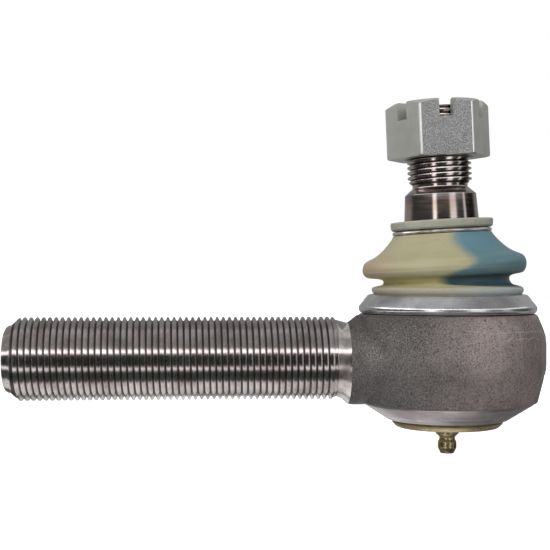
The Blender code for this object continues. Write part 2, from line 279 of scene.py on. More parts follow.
def bake_modifiers(target):
    graph = bpy.context.evaluated_depsgraph_get()
    mesh = bpy.data.meshes.new_from_object(target.evaluated_get(graph), depsgraph=graph)
    target.modifiers.clear()
    target.data = mesh


# ------------------------------------------------------------------ material helpers

def linear(hex_colour):
    """A linear colour from its usual hexadecimal form."""
    channels = [int(hex_colour[i:i + 2], 16) / 255 for i in (1, 3, 5)]
    return tuple(c / 12.92 if c <= 0.04045 else ((c + 0.055) / 1.055) ** 2.4 for c in channels)


class Nodes:
    """Short calls for the nodes of one material or world."""

    def __init__(self, tree):
        self.tree = tree

    def node(self, kind, inputs=None, **settings):
        made = self.tree.nodes.new(kind)
        for key, value in settings.items():
            setattr(made, key, value)
        for key, value in (inputs or {}).items():
            if isinstance(value, bpy.types.NodeSocket):
                self.tree.links.new(value, made.inputs[key])
            else:
                made.inputs[key].default_value = value
        return made

    def math(self, operation, a, b=0.0):
        return self.node("ShaderNodeMath", {0: a, 1: b}, operation=operation).outputs[0]

    def remap(self, value, low, high, to_low=0.0, to_high=1.0, smooth=False):
        kind = "SMOOTHSTEP" if smooth else "LINEAR"
        found = self.node("ShaderNodeMapRange", {
            "Value": value, "From Min": low, "From Max": high, "To Min": to_low, "To Max": to_high,
        }, interpolation_type=kind)
        return found.outputs["Result"]

    def blend(self, share, one, two):
        """A number between one and two."""
        return self.node("ShaderNodeMix", {0: share, 2: one, 3: two}, data_type="FLOAT").outputs[0]

    def ramp(self, value, stops):
        found = self.node("ShaderNodeValToRGB", {"Fac": value})
        elements = found.color_ramp.elements
        while len(elements) < len(stops):
            elements.new(0.5)
        for element, (position, colour) in zip(elements, stops):
            element.position = position
            element.color = (*colour, 1.0)
        return found.outputs["Color"]


class Look(Nodes):
    """A material with its shader, and short calls for the nodes that feed it."""

    def __init__(self, name, roughness, metallic):
        self.material = bpy.data.materials.new(name)
        self.material.use_nodes = True
        super().__init__(self.material.node_tree)
        self.shader = self.tree.nodes["Principled BSDF"]
        self.shader.inputs["Roughness"].default_value = roughness
        self.shader.inputs["Metallic"].default_value = metallic
        self.place = self.node("ShaderNodeTexCoord").outputs["Object"]

    def to(self, socket, value):
        self.tree.links.new(value, self.shader.inputs[socket])

    def set(self, socket, value):
        self.shader.inputs[socket].default_value = value

    def vector(self, operation, a, b=(0, 0, 0)):
        """The vector that comes of a and b."""
        return self.node("ShaderNodeVectorMath", {0: a, 1: b}, operation=operation).outputs[0]

    def scaled(self, a, factor):
        """a times one number."""
        return self.node("ShaderNodeVectorMath", {0: a, "Scale": factor}, operation="SCALE").outputs[0]

    def dot(self, a, direction):
        """How far a reaches along direction."""
        inputs = {0: a, 1: tuple(direction)}
        return self.node("ShaderNodeVectorMath", inputs, operation="DOT_PRODUCT").outputs["Value"]

    def stretched(self, x, y, z, origin=(0, 0, 0)):
        """The object's coordinates from origin, each times its own factor."""
        moved = self.vector("SUBTRACT", self.place, tuple(origin))
        return self.vector("MULTIPLY", moved, (x, y, z))

    def noise(self, scale, detail=3.0, rough=0.55, place=None, distortion=0.0):
        found = self.node("ShaderNodeTexNoise", {
            "Vector": place or self.place, "Scale": scale, "Detail": detail,
            "Roughness": rough, "Distortion": distortion,
        })
        return found.outputs["Fac"]

    def mix(self, share, one, two):
        """A colour between one and two, each a colour or a node's output."""
        found = self.node("ShaderNodeMix", {"Factor": share}, data_type="RGBA")
        for index, colour in ((6, one), (7, two)):
            if isinstance(colour, bpy.types.NodeSocket):
                self.tree.links.new(colour, found.inputs[index])
            else:
                found.inputs[index].default_value = (*colour, 1.0)
        return found.outputs[2]

    def bump(self, height, distance, strength, onto=None):
        inputs = {"Height": height, "Distance": distance, "Strength": strength}
        if onto:
            inputs["Normal"] = onto
        return self.node("ShaderNodeBump", inputs).outputs["Normal"]


def height_on_stud(look):
    """Metres along the stud's axis above the ball centre."""
    inverse = STUD.inverted()
    direction = Vector(inverse[2][:3])
    return look.math("ADD", look.dot(look.place, direction), inverse[2][3])


def split(look, place):
    """The x, y and z of a place."""
    return look.node("ShaderNodeSeparateXYZ", {0: place}).outputs


def from_axis(look, origin, direction):
    """Metres from the line through origin along direction."""
    moved = look.stretched(1, 1, 1, origin)
    across = look.vector("CROSS_PRODUCT", moved, tuple(direction))
    return look.node("ShaderNodeVectorMath", {0: across}, operation="LENGTH").outputs["Value"]


def softened_normal(look, origin, direction, share):
    """The surface's direction, turned by a share towards straight out from the turning axis."""
    moved = look.stretched(1, 1, 1, origin)
    on_axis = look.scaled(tuple(direction), look.dot(moved, direction))
    radial = look.vector("NORMALIZE", look.vector("SUBTRACT", moved, on_axis))
    own = look.node("ShaderNodeTexCoord").outputs["Normal"]
    both = look.vector("ADD", look.scaled(own, 1.0 - share), look.scaled(radial, share))
    turned = look.node(
        "ShaderNodeVectorTransform", {0: both},
        vector_type="NORMAL", convert_from="OBJECT", convert_to="WORLD",
    )
    return look.vector("NORMALIZE", turned.outputs[0])


# ------------------------------------------------------------------ materials

def scratch(look, x, z, first, last, middle, sway):
    """1 on a thin wavy scratch from x = first to x = last near the height middle, and 0 elsewhere."""
    wave = look.noise(1, 3, 0.6, look.stretched(120, 0, 0))
    line = look.math("ADD", look.math("MULTIPLY", wave, sway), middle - sway / 2)
    off = look.math("ABSOLUTE", look.math("SUBTRACT", z, line))
    thin = look.remap(off, 0.00026, 0.00008)
    starts = look.remap(x, first, first + 0.002)
    ends = look.remap(x, last, last - 0.002)
    broken = look.remap(look.noise(700, 1), 0.38, 0.5)
    along = look.math("MULTIPLY", starts, ends)
    return look.math("MULTIPLY", look.math("MULTIPLY", thin, broken), along)


def forged_steel():
    """A shot-blasted forging: neutral by the shank, browner on the far side, with a fine grain, and painted
    shade towards its upper left.
    """
    look = Look("forged_steel", 0.5, 0.75)
    x, _, z = split(look, look.stretched(1, 1, 1, BALL))
    grain = look.noise(2300, 3, 0.7)
    patches = look.noise(75, 4, 0.6, distortion=0.6)
    base = look.mix(look.remap(x, -0.022, 0.012, smooth=True), linear("#757270"), linear("#a89a98"))
    base = look.mix(look.remap(patches, 0.40, 0.68, 0.0, 0.45), base, linear("#4a4644"))
    # Painted shade: the barrel is painted darker towards its upper left.
    upper_left_shade = look.math("MULTIPLY", look.remap(z, 0.002, 0.012), look.remap(x, 0.004, -0.018))
    base = look.mix(look.math("MULTIPLY", upper_left_shade, 0.5), base, linear("#3d3937"))
    base = look.mix(look.remap(grain, 0.54, 0.70, 0.0, 0.55), base, linear("#b5aaa7"))
    base = look.mix(look.remap(grain, 0.49, 0.34, 0.0, 0.8), base, linear("#2a2726"))
    pits = look.noise(1100, 2, 0.6)
    base = look.mix(look.remap(pits, 0.44, 0.28, 0.0, 0.4), base, linear("#34302e"))
    streak = look.noise(1, 3, 0.7, look.stretched(520, 520, 45))
    ribbed = look.math("MULTIPLY", look.remap(streak, 0.54, 0.64, 0.0, 0.4), look.remap(x, 0.0, 0.015))
    base = look.mix(ribbed, base, linear("#b9aeab"))
    long_scratch = scratch(look, x, z, 0.001, 0.031, 0.0100, 0.0040)
    short_scratch = scratch(look, x, z, 0.011, 0.029, 0.0078, 0.0085)
    scratches = look.math("MAXIMUM", long_scratch, short_scratch)
    base = look.mix(look.math("MULTIPLY", scratches, 0.55), base, linear("#c4b9b6"))
    look.to("Base Color", base)
    look.to("Roughness", look.remap(grain, 0.3, 0.7, 0.62, 0.40))
    fine = look.bump(grain, 0.0002, 0.9)
    look.to("Normal", look.bump(look.noise(330, 3), 0.0004, 0.5, fine))
    return look.material


def turned_steel(
    name, colour, along, roughness, groove_scale=2600, dirt_colour="#8d8580", relief=0.6, plain=0.0,
):
    """Bright steel with lathe marks that follow the turning axis, given as a stretch.

    plain is the share of the shank's round shape in what it reflects.
    """
    look = Look(name, roughness, 0.9)
    marks = look.noise(1, 3, 0.7, look.stretched(*[groove_scale * a + 6 for a in along]))
    dirt = look.noise(150, 4)
    base = look.mix(look.remap(dirt, 0.4, 0.7), linear(colour), linear(dirt_colour))
    base = look.mix(look.remap(marks, 0.55, 0.75, 0.0, 0.35), base, linear("#e9e4e0"))
    look.to("Base Color", base)
    look.to("Roughness", look.remap(marks, 0.3, 0.7, roughness - 0.08, roughness + 0.14))
    onto = softened_normal(look, (0, 0, 0), (1, 0, 0), plain) if plain else None
    look.to("Normal", look.bump(marks, 0.00003, relief, onto))
    return look.material


def thread_steel(name, origin, direction, crest_r, depth, light, dark, softness, end=None):
    """A cut thread with rounded, worn crests, and painted shade in the roots.

    end is where the thread stops, in millimetres along direction, if plain steel follows it.
    """
    look = Look(name, 0.2, 1.0)
    radius = from_axis(look, origin, direction)
    out = look.remap(radius, (crest_r - 3 * depth) * MM, crest_r * MM, -2.0, 1.0)
    stain = look.noise(130, 4, 0.6)
    fine = look.noise(2400, 2, 0.7)
    base = look.mix(look.remap(stain, 0.4, 0.66), linear(light), linear("#908785"))
    base = look.mix(look.remap(fine, 0.55, 0.72, 0.0, 0.4), base, linear("#efe9e6"))
    # Painted shade: a mask on the roots, which stands for the shade in the grooves.
    root = look.math("MULTIPLY", look.remap(out, 0.45, 0.05, smooth=True), look.remap(out, -0.6, -0.25))
    if end is not None:
        along = look.dot(look.place, direction)
        root = look.math("MULTIPLY", root, look.remap(along, end * MM, (end - 1.0) * MM))
    # The roots take the dark colour as painted shade.
    base = look.mix(root, base, linear(dark))
    look.to("Base Color", base)
    root_roughness = look.remap(root, 0.0, 1.0, 0.11, 0.26)
    grainy = look.remap(fine, 0.3, 0.7, 0.0, 0.08)
    look.to("Roughness", look.math("ADD", root_roughness, grainy))
    look.to("Normal", look.bump(fine, 0.00003, 0.4, softened_normal(look, origin, direction, softness)))
    return look.material


def satin_zinc():
    """Pressed sheet with a smooth satin plating."""
    look = Look("satin_zinc", 0.26, 1.0)
    rings = look.noise(1, 3, 0.7, look.stretched(25, 25, 1500, BALL))
    stain = look.noise(85, 4, 0.6)
    base = look.mix(look.remap(stain, 0.40, 0.66), linear("#d8d8d9"), linear("#b4b2b6"))
    base = look.mix(look.remap(rings, 0.56, 0.74, 0.0, 0.3), base, linear("#e4e2e4"))
    look.to("Base Color", base)
    look.to("Roughness", look.remap(rings, 0.3, 0.7, 0.20, 0.33))
    look.to("Normal", look.bump(rings, 0.00002, 0.4))
    return look.material


def nut_zinc(name, light, dark, grain_share, metallic=0.6):
    """Zinc plate on cold-formed steel, with a fine bright and dark grain where it is worn."""
    look = Look(name, 0.36, metallic)
    grain = look.noise(2900, 2, 0.8)
    fleck = look.noise(4300, 1, 0.5)
    cloud = look.noise(120, 3)
    base = look.mix(look.remap(cloud, 0.38, 0.68), linear(light), linear(dark))
    base = look.mix(look.remap(grain, 0.49, 0.38, 0.0, grain_share), base, linear("#353533"))
    base = look.mix(look.remap(fleck, 0.56, 0.70, 0.0, grain_share), base, linear("#d4d4d6"))
    look.to("Base Color", base)
    look.to("Roughness", look.remap(grain, 0.3, 0.7, 0.44, 0.30))
    look.to("Normal", look.bump(grain, 0.00010 * grain_share, 0.8))
    return look.material


def yellow_zinc(name, shades, roughness, metallic=0.8):
    """Yellow chromate, drifting between gold, olive and a faint pink bloom, with a band of painted shade
    just below the forging's lip.
    """
    look = Look(name, roughness, metallic)
    drift = look.noise(160, 4, 0.6, distortion=0.8)
    base = look.ramp(drift, [(0.3, linear(shades[0])), (0.5, linear(shades[1])), (0.72, linear(shades[2]))])
    grain = look.noise(1800, 2)
    base = look.mix(look.remap(grain, 0.55, 0.75, 0.0, 0.4), base, linear("#5e5032"))
    rub = look.noise(1, 3, 0.65, look.stretched(40, 40, 900, BALL))
    base = look.mix(look.remap(rub, 0.56, 0.68, 0.0, 0.5), base, linear("#4a4130"))
    # Painted shade: a dark band just below the forging's lip, where the gap between forging and plate lies
    # in shade.
    seam = look.remap(split(look, look.stretched(1, 1, 1, BALL))[2], -0.0224, -0.0219, 0.0, 0.8)
    base = look.mix(seam, base, linear("#2b251b"))
    look.to("Base Color", base)
    look.to("Roughness", look.remap(grain, 0.3, 0.7, roughness - 0.05, roughness + 0.15))
    look.to("Normal", look.bump(grain, 0.00005, 0.5))
    return look.material


def stud_steel():
    """Ground, hardened steel with heat tints where the taper ends."""
    look = Look("stud_steel", 0.2, 1.0)
    height = height_on_stud(look)
    fine = look.noise(1, 3, 0.7, look.stretched(60, 60, 3000, BALL))
    base = look.mix(look.remap(fine, 0.4, 0.7), linear("#a89f99"), linear("#bbb2ad"))
    tint = look.ramp(look.remap(height, 0.0490, 0.0610), [
        (0.0, linear("#a39a95")), (0.30, linear("#a08a62")), (0.48, linear("#8f6873")),
        (0.62, linear("#6b667f")), (0.78, linear("#b3a180")), (1.0, linear("#a39a95")),
    ])
    patch = look.remap(look.noise(110, 2, 0.5), 0.46, 0.66, 0.0, 0.6)
    look.to("Base Color", look.mix(patch, base, tint))
    look.to("Roughness", look.remap(fine, 0.3, 0.7, 0.10, 0.18))
    look.to("Normal", look.bump(fine, 0.000005, 0.2))
    return look.material


# Where cream turns to blue across the boot, by height, both as shares of their ranges.
BLUE_BORDER = [
    (0.18, 0.75), (0.24, 0.12), (0.36, 0.13), (0.46, 0.28), (0.54, 0.34), (0.66, 0.29), (0.8, 0.24),
]


def boot_rubber():
    """Moulded boot: cream on the shank's side, running into blue on the other."""
    look = Look("boot_rubber", 0.42, 0.0)
    place = look.node("ShaderNodeAttribute", attribute_name="rest_place").outputs["Vector"]
    x, _, z = split(look, look.vector("SUBTRACT", place, tuple(BALL)))
    wander = look.noise(110, 3, 0.5, place)
    border = look.node("ShaderNodeFloatCurve", {"Value": look.remap(z, 0.020, 0.044)})
    curve = border.mapping.curves[0]
    curve.points[0].location = (0.0, 0.8)
    curve.points[1].location = (1.0, 0.24)
    for height, value in BLUE_BORDER:
        curve.points.new(height, value)
    border.mapping.update()
    limit = look.remap(border.outputs[0], 0.0, 1.0, -0.0115, 0.0305)
    shift = look.math("MULTIPLY", look.math("SUBTRACT", wander, 0.5), 0.006)
    past = look.math("SUBTRACT", look.math("ADD", x, shift), limit)
    blue = look.remap(past, -0.002, 0.0035, smooth=True)
    cloud = look.noise(50, 3, 0.5, place)
    cream = look.mix(look.remap(cloud, 0.35, 0.7), linear("#9e997a"), linear("#918d69"))
    cream = look.mix(look.remap(x, -0.018, -0.029), cream, linear("#a08e76"))
    teal = look.mix(look.remap(z, 0.029, 0.040), linear("#4d676b"), linear("#537883"))
    # Painted light and shade in the groove: the cream is painted lighter there and the blue darker.
    low = look.remap(z, 0.0288, 0.0266)
    teal = look.mix(low, teal, linear("#37515f"))
    cream = look.mix(low, cream, linear("#c9c18e"))
    bead = look.remap(z, 0.0254, 0.0240)
    base = look.mix(blue, cream, teal)
    bead_colour = look.mix(look.remap(x, -0.006, 0.014), linear("#9a9784"), linear("#979e9f"))
    base = look.mix(bead, base, bead_colour)
    fine = look.noise(1500, 2, 0.6, place)
    soil = look.noise(1, 4, 0.65, look.vector("MULTIPLY", place, (60, 60, 420)))
    base = look.mix(look.remap(soil, 0.55, 0.72, 0.0, 0.28), base, linear("#6f6c58"))
    look.to("Base Color", base)
    look.to("Roughness", look.remap(fine, 0.3, 0.7, 0.36, 0.5))
    look.to("Normal", look.bump(fine, 0.00005, 0.35))
    look.set("Subsurface Weight", 0.08)
    look.set("Subsurface Scale", 0.002)
    return look.material


def seal_rubber():
    """Beige-green rubber with a matt, slightly mottled skin."""
    look = Look("seal_rubber", 0.5, 0.0)
    fine = look.noise(1300, 2, 0.6)
    base = look.mix(look.remap(look.noise(140, 3), 0.35, 0.7), linear("#a0a091"), linear("#8e8f82"))
    look.to("Base Color", base)
    look.to("Roughness", look.remap(fine, 0.3, 0.7, 0.42, 0.6))
    look.to("Normal", look.bump(fine, 0.00006, 0.4))
    look.set("Subsurface Weight", 0.1)
    look.set("Subsurface Scale", 0.002)
    return look.material


def dress(piece, body, slot, *looks, replaces=()):
    """Gives a piece its materials and its body, and hides the CAD nodes that it stands for; the slot is not
    used.
    """
    for look in looks:
        piece.data.materials.append(look)
    if replaces:
        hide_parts(*replaces)
    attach(piece, body)


def paint_faces(piece, index, chosen):
    """Gives the faces whose centre satisfies chosen(r, z, x), in millimetres, another slot."""
    for face in piece.data.polygons:
        centre = (face.center - BALL) / MM
        if chosen(math.hypot(centre.x, centre.y), centre.z, centre.x):
            face.material_index = index


# ------------------------------------------------------------------ housing

def neck_bmesh():
    """The forged neck: oval sections from the shank's relief into the barrel."""
    sections = [
        (-39.35, 13.30, -13.35, 13.3),
        (-38.6, 13.05, -13.45, 13.3),
        (-37.4, 12.6, -13.9, 13.4),
        (-36.4, 12.3, -14.8, 13.8),
        (-35.6, 12.2, -15.6, 14.3),
        (-34.6, 12.5, -16.1, 15.1),
        (-33.4, 13.4, NECK_BOTTOM, 16.3),
        (-32.4, 14.2, NECK_BOTTOM, 17.6),
        (-31.4, 14.9, NECK_BOTTOM, 18.3),
        (-29.5, 15.0, NECK_BOTTOM, 19.7),
        (-27.0, 15.0, NECK_BOTTOM, 21.5),
        (-24.0, 15.0, NECK_BOTTOM, 23.6),
    ]
    segments = 112
    per_gap = 4
    bm = bmesh.new()
    rings = []
    steps = (len(sections) - 1) * per_gap
    for i in range(steps + 1):
        x = sections[0][0] + (sections[-1][0] - sections[0][0]) * i / steps
        top, low, half = at(sections, x)
        middle = (top + low) / 2
        tall = (top - low) / 2
        turns = [2 * math.pi * k / segments for k in range(segments)]
        rings.append([bm.verts.new((x, half * math.cos(t), middle + tall * math.sin(t))) for t in turns])
    for one, two in zip(rings, rings[1:]):
        ring_faces(bm, one, two)
    bm.faces.new(rings[0])
    bm.faces.new(rings[-1])
    return bm


def make_forging(forged, turned, bevel):
    """The socket barrel and the neck in one piece, with a flat ground on the barrel's free side."""
    outline = [
        (19.8, SPIGOT_TOP, 0),
        (SPIGOT_R, SPIGOT_TOP, 0.4),
        (SPIGOT_R, BARREL_TOP, 0.5),
        (BARREL_TOP_R, BARREL_TOP, 0.3),
        (BARREL_TOP_R + 0.6, BARREL_TOP - 0.6, 0.5),
        (BARREL_R, 7.9, 14.0),
        (BARREL_R, -3.5, 14.0),
        (BEVEL_TOP_R + 0.15, BEVEL_TOP + 0.5, 0.4),
        (BEVEL_TOP_R - 1.2, BEVEL_TOP - 0.15, 0.1),
        (BEVEL_TOP_R - 1.4, BEVEL_TOP - 0.5, 0.1),
        (LIP_R + 1.2, LIP_BOTTOM + 0.2, 0.5),
        (LIP_R, LIP_BOTTOM + 0.3, 0.3),
        (LIP_R, -19.3, 0),
        (22.9, -19.3, 0),
        (22.9, -16.4, 0),
        (BORE_R, -16.4, 0),
        (BORE_R, 3.2, 0),
        (17.2, 9.4, 0),
        (16.2, 9.4, 0),
        (16.2, 10.5, 0.4),
    ]
    piece = lathe("housing_forging", outline, SOCKET, segments=192)
    neck = finish_mesh("neck", neck_bmesh(), SOCKET)
    bore = [(0, 30, 0), (BORE_R, 30, 0), (BORE_R, -30, 0), (0, -30, 0)]
    boolean(neck, lathe("bore", bore, SOCKET, closed=False, segments=192), "DIFFERENCE")
    boolean(piece, neck, "UNION")
    boolean(piece, flat_cutter(), "DIFFERENCE")
    piece.data.shade_smooth()
    piece.data.set_sharp_from_angle(angle=math.radians(32))
    dress(piece, "socket", "forged_steel", forged, turned, bevel, replaces=["housing"])
    paint_faces(piece, 1, lambda r, z, x: x < NECK_FROM)
    paint_faces(piece, 2, lambda r, z, x: x > NECK_FROM and machined(r, z))


def machined(r, z):
    """True on the bevel below, on the top face and inside the bore."""
    on_bevel = z < BEVEL_TOP and r < BEVEL_TOP_R
    return on_bevel or z > BARREL_TOP - 0.1 or r < BORE_R + 1.7


def flat_cutter():
    """The block that takes the ground flat off the barrel's free side."""
    block = bpy.data.meshes.new("ground_flat")
    bm = bmesh.new()
    bmesh.ops.create_cube(bm, size=1.0)
    bm.to_mesh(block)
    bm.free()
    cutter = bpy.data.objects.new("ground_flat", block)
    bpy.context.scene.collection.objects.link(cutter)
    direction = Matrix.Rotation(FLAT_TURN, 4, "Z") @ Matrix.Rotation(FLAT_TILT, 4, "Y")
    cutter.matrix_world = (
        SOCKET @ direction @ Matrix.Translation(Vector((BARREL_R + FLAT_OFF, 0, -2.0)) * MM)
        @ Matrix.Diagonal((8 * MM, 30 * MM, 4 * MM, 1.0))
    )
    bpy.context.view_layer.update()
    return cutter


def make_shank(steel):
    """The threaded shank, from the centre hole in its end face to inside the neck."""
    ending = BALL_X - 33.0
    envelope = [
        (-13.5, 5.2, 0.0),
        (-12.4, 5.0, 0.5),
        (-11.0, 0.4, 3.0),
        (-10.6, 0.0, 3.4),
        (-0.6, 0.0, 9.9),
        (0.6, 0.5, 10.9),
        (1.1, 1.0, 11.35),
        (1.6, 1.6, 11.55),
        (2.2, 2.2, 11.6),
        (5.0, 5.0, SHANK_R),
        (SHANK_THREAD_END, SHANK_THREAD_END, SHANK_R),
        (SHANK_THREAD_END + 0.8, SHANK_THREAD_END + 0.8, 13.3),
        (SHANK_THREAD_END + 2.4, SHANK_THREAD_END + 2.4, 12.9),
        (ending, ending, 11.5),
        (ending + 0.3, ending, 0.0),
    ]
    along_x = Matrix.Rotation(math.pi / 2, 4, "Y")
    piece = threaded_rod(
        "threaded_shank", along_x, envelope, (1.5, SHANK_THREAD_END + 1.2, 2.2), ending + 0.6,
        SHANK_R, SHANK_DEPTH, SHANK_PITCH, 96, 10,
    )
    dress(piece, "socket", "forged_steel", steel)


# ------------------------------------------------------------------ socket's small pieces

def make_cover_plate(look):
    outline = [
        (3.45, -21.7, 0), (16.3, -21.7, 0.4), (17.0, -21.0, 0.4), (17.0, -16.7, 0.3),
        (22.6, -16.7, 0.3), (22.6, -19.0, 0.3), (19.4, -19.0, 0), (19.4, -21.9, 0.4),
        (18.9, -22.9, 0.8), (17.7, -24.0, 0.7), (10.0, -24.2, 6.0), (3.45, -24.4, 0.2),
    ]
    piece = lathe("cover_cup", outline, SOCKET)
    dress(piece, "socket", "yellow_zinc", look, replaces=["cover_plate"])


def make_grease_fitting(look):
    outline = [
        (0.9, -21.6, 0), (0.9, -22.8, 0), (1.5, -22.8, 0), (1.5, -31.7, 0), (0.75, -32.5, 0),
        (0.75, -33.4, 0.1), (2.35, -33.4, 0.3), (3.3, -31.4, 0.5), (3.3, -29.5, 0.7),
        (2.75, -28.4, 0.5), (2.75, -27.7, 0.4), (4.05, -26.5, 0.3), (4.05, -24.7, 0.2),
        (3.15, -24.7, 0), (3.15, -21.6, 0.2),
    ]
    piece = lathe("grease_nipple", outline, SOCKET, segments=64)
    dress(piece, "socket", "yellow_zinc", look, replaces=["grease_fitting"])


def make_retainer(look):
    outline = [
        (29.5, 15.5, 0.2), (30.2, 15.6, 0.4), (30.85, 16.6, 1.2), (30.85, 17.75, 1.7),
        (27.6, 21.7, 0.4), (26.8, 22.0, 0.25), (26.0, 21.8, 0.2), (29.2, 17.3, 0.5), (29.3, 16.0, 0.3),
    ]
    piece = lathe("boot_retainer", outline, SOCKET, segments=160)
    dress(piece, "socket", "white_zinc", look, replaces=["boot_retainer_ring"])


# ------------------------------------------------------------------ boot and its rings

SEAM = 31.0
LEAN_START = 23.0
LEAN_END = SEAM
SEAM_INSIDE_R = 25.9

BOOT_OUTSIDE = [
    (28.2, 15.6), (28.2, 16.9), (25.6, 20.2), (25.4, 21.6), (25.9, 22.6), (26.2, 23.4),
    (26.0, 24.3), (24.6, 24.9), (22.6, 25.4), (21.8, 26.5), (22.0, 27.5), (23.2, 28.1),
    (26.4, 28.6), (27.5, 29.3), (28.1, 30.3), (28.3, 31.2), (28.25, 32.4), (27.6, 34.0),
    (26.2, 35.0), (23.6, 36.2), (21.1, 38.1), (18.9, 40.4), (17.6, 42.0), (17.1, 43.0),
]
BOOT_INSIDE = [
    (13.6, 43.0), (13.6, 40.8), (16.2, 39.6), (19.0, 36.8), (21.8, 34.5), (24.8, 33.4),
    (25.7, 32.4), (25.9, 31.0), (25.2, 30.4), (22.3, 29.8), (21.2, 28.6), (20.8, 27.2),
    (20.8, 25.6), (22.0, 23.8), (22.8, 21.8), (22.8, 15.6),
]


def lean_over(bm):
    """Turns the points over to the rim's lean, from none at the bead to all above the seam."""
    pivot = BOOT_PIVOT.translation / MM
    for vert in bm.verts:
        rise = (vert.co.z - LEAN_START) / (LEAN_END - LEAN_START)
        share = min(1.0, max(0.0, rise))
        share = share * share * (3 - 2 * share)
        vert.co = pivot + Matrix.Rotation(BOOT_LEAN * share, 3, "Y") @ (vert.co - pivot)


def boot_part(name, outline):
    """One half of the boot, which keeps each point's place at rest for its colours."""
    bm = lathe_bmesh(outline, True, 160)
    lean_over(bm)
    piece = finish_mesh(name, bm, SOCKET, 55.0)
    rest = piece.data.attributes.new("rest_place", "FLOAT_VECTOR", "POINT")
    for i, vert in enumerate(piece.data.vertices):
        rest.data[i].vector = vert.co
    return piece


def on_axis(height):
    """The point at this height on the stud's axis."""
    return BALL + STUD_AXIS * height * MM


def make_boot(look):
    """Two halves, joined at the seam."""
    outside = flowing(BOOT_OUTSIDE, 4)
    inside = flowing(BOOT_INSIDE, 3)
    seam_out = (at([(z, r) for r, z in BOOT_OUTSIDE[8:]], SEAM)[0], SEAM)
    seam_in = (SEAM_INSIDE_R, SEAM)
    cut_out = next(i for i, p in enumerate(outside) if p[1] >= SEAM and i > 8)
    cut_in = next(i for i, p in enumerate(inside) if p[1] <= SEAM)
    lower = outside[:cut_out] + [seam_out, seam_in] + inside[cut_in + 1:]
    upper = [seam_out] + outside[cut_out + 1:] + inside[:cut_in] + [seam_in]
    below = boot_part("dust_boot_lower", lower)
    above = boot_part("dust_boot_upper", upper)
    for piece in (below, above):
        piece.data.materials.append(look)
    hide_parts("dust_boot")
    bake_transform(below)
    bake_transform(above)


def make_top_ring(look):
    outline = [
        (13.7, 43.2, 0), (17.0, 43.2, 0.3), (17.25, 43.8, 0.4), (17.0, 44.4, 0.3), (13.7, 44.4, 0),
    ]
    piece = lathe("boot_clip_ring", outline, BOOT_RIM)
    dress(piece, "boot_top", "bright_steel", look, replaces=["boot_top_ring"])


def make_seal_washer(look):
    outline = [
        (13.7, 44.7, 0.2), (16.9, 44.7, 0.3), (17.6, 45.3, 0.5), (17.8, 47.2, 0.3),
        (17.5, 47.7, 0.3), (13.7, 47.7, 0.3),
    ]
    piece = lathe("boot_seal", outline, BOOT_RIM)
    dress(piece, "boot_top", "seal_rubber", look, replaces=["boot_seal_washer"])


# ------------------------------------------------------------------ stud and nut

def make_stud(look, thread_look):
    """The ball, neck and taper in one mesh, and the threaded end in another."""
    ball_r = 17.46
    neck_r = 10.5
    outline = [(0, -16.0, 0)]
    outline += arc(ball_r, -66.4, math.degrees(math.acos(neck_r / ball_r)), 40)
    outline += [
        (neck_r, 24.0, 6.0), (neck_r + 0.8, 30.0, 8.0), (13.225, 38.5, 4.0), (13.225, 42.8, 0),
        (12.34, 56.7, 0.3), (10.2, 58.6, 0.3), (9.55, 59.1, 0.6), (9.55, 62.2, 0), (0, 62.2, 0),
    ]
    body = lathe("stud_body", outline, STUD, closed=False)
    envelope = [
        (58.3, 59.5, 0.0),
        (59.4, 59.5, 9.3),
        (60.3, 60.3, 9.6),
        (61.6, 61.6, STUD_R),
        (85.8, 85.8, STUD_R),
        (86.9, STUD_END, STUD_R - 1.2),
        (95.0, STUD_END, 3.0),
        (98.0, 82.6, 0.5),
        (98.6, 82.4, 0.0),
    ]
    thread = threaded_rod(
        "stud_thread", STUD, envelope, (58.0, 87.2, 0.1), 99.2,
        STUD_R, STUD_DEPTH, STUD_PITCH, 96, 10,
    )
    dress(body, "stud", "polished_steel", look, replaces=["ball_stud"])
    dress(thread, "stud", "polished_steel", thread_look)


def rounded_hexagon(flats, radius, bottom, top):
    """A hexagonal prism with flats towards -Y and +Y, and each upright edge rounded."""
    middle = (flats / 2 - radius) / math.cos(math.pi / 6)
    bm = bmesh.new()
    rings = []
    for z in (bottom, top):
        ring = []
        for side in range(6):
            for step in range(-2, 3):
                turn = math.radians(60 * side)
                bend = turn + math.radians(15 * step)
                x = middle * math.cos(turn) + radius * math.cos(bend)
                y = middle * math.sin(turn) + radius * math.sin(bend)
                ring.append(bm.verts.new((x, y, z)))
        rings.append(ring)
    ring_faces(bm, rings[0], rings[1])
    bm.faces.new(rings[0])
    bm.faces.new(rings[1])
    return bm


def nut_blank():
    """The nut's hexagon, with a 30 degree chamfer above and below."""
    top_r = NUT_FLATS / 2 - 0.5
    low_r = NUT_FLATS / 2 + 1.5
    full_r = NUT_FLATS / 2 + 3.0
    slope = math.tan(math.radians(30))
    outline = [
        (0, NUT_TOP, 0), (top_r, NUT_TOP, 0), (full_r, NUT_TOP - (full_r - top_r) * slope, 0),
        (full_r, NUT_BOTTOM + (full_r - low_r) * slope, 0), (low_r, NUT_BOTTOM, 0), (0, NUT_BOTTOM, 0),
    ]
    nut = lathe("slotted_nut", outline, STUD, closed=False, segments=180)
    prism = rounded_hexagon(NUT_FLATS, NUT_EDGE_R, NUT_BOTTOM - 2, NUT_TOP + 2)
    boolean(nut, finish_mesh("hexagon", prism, STUD), "INTERSECT")
    return nut


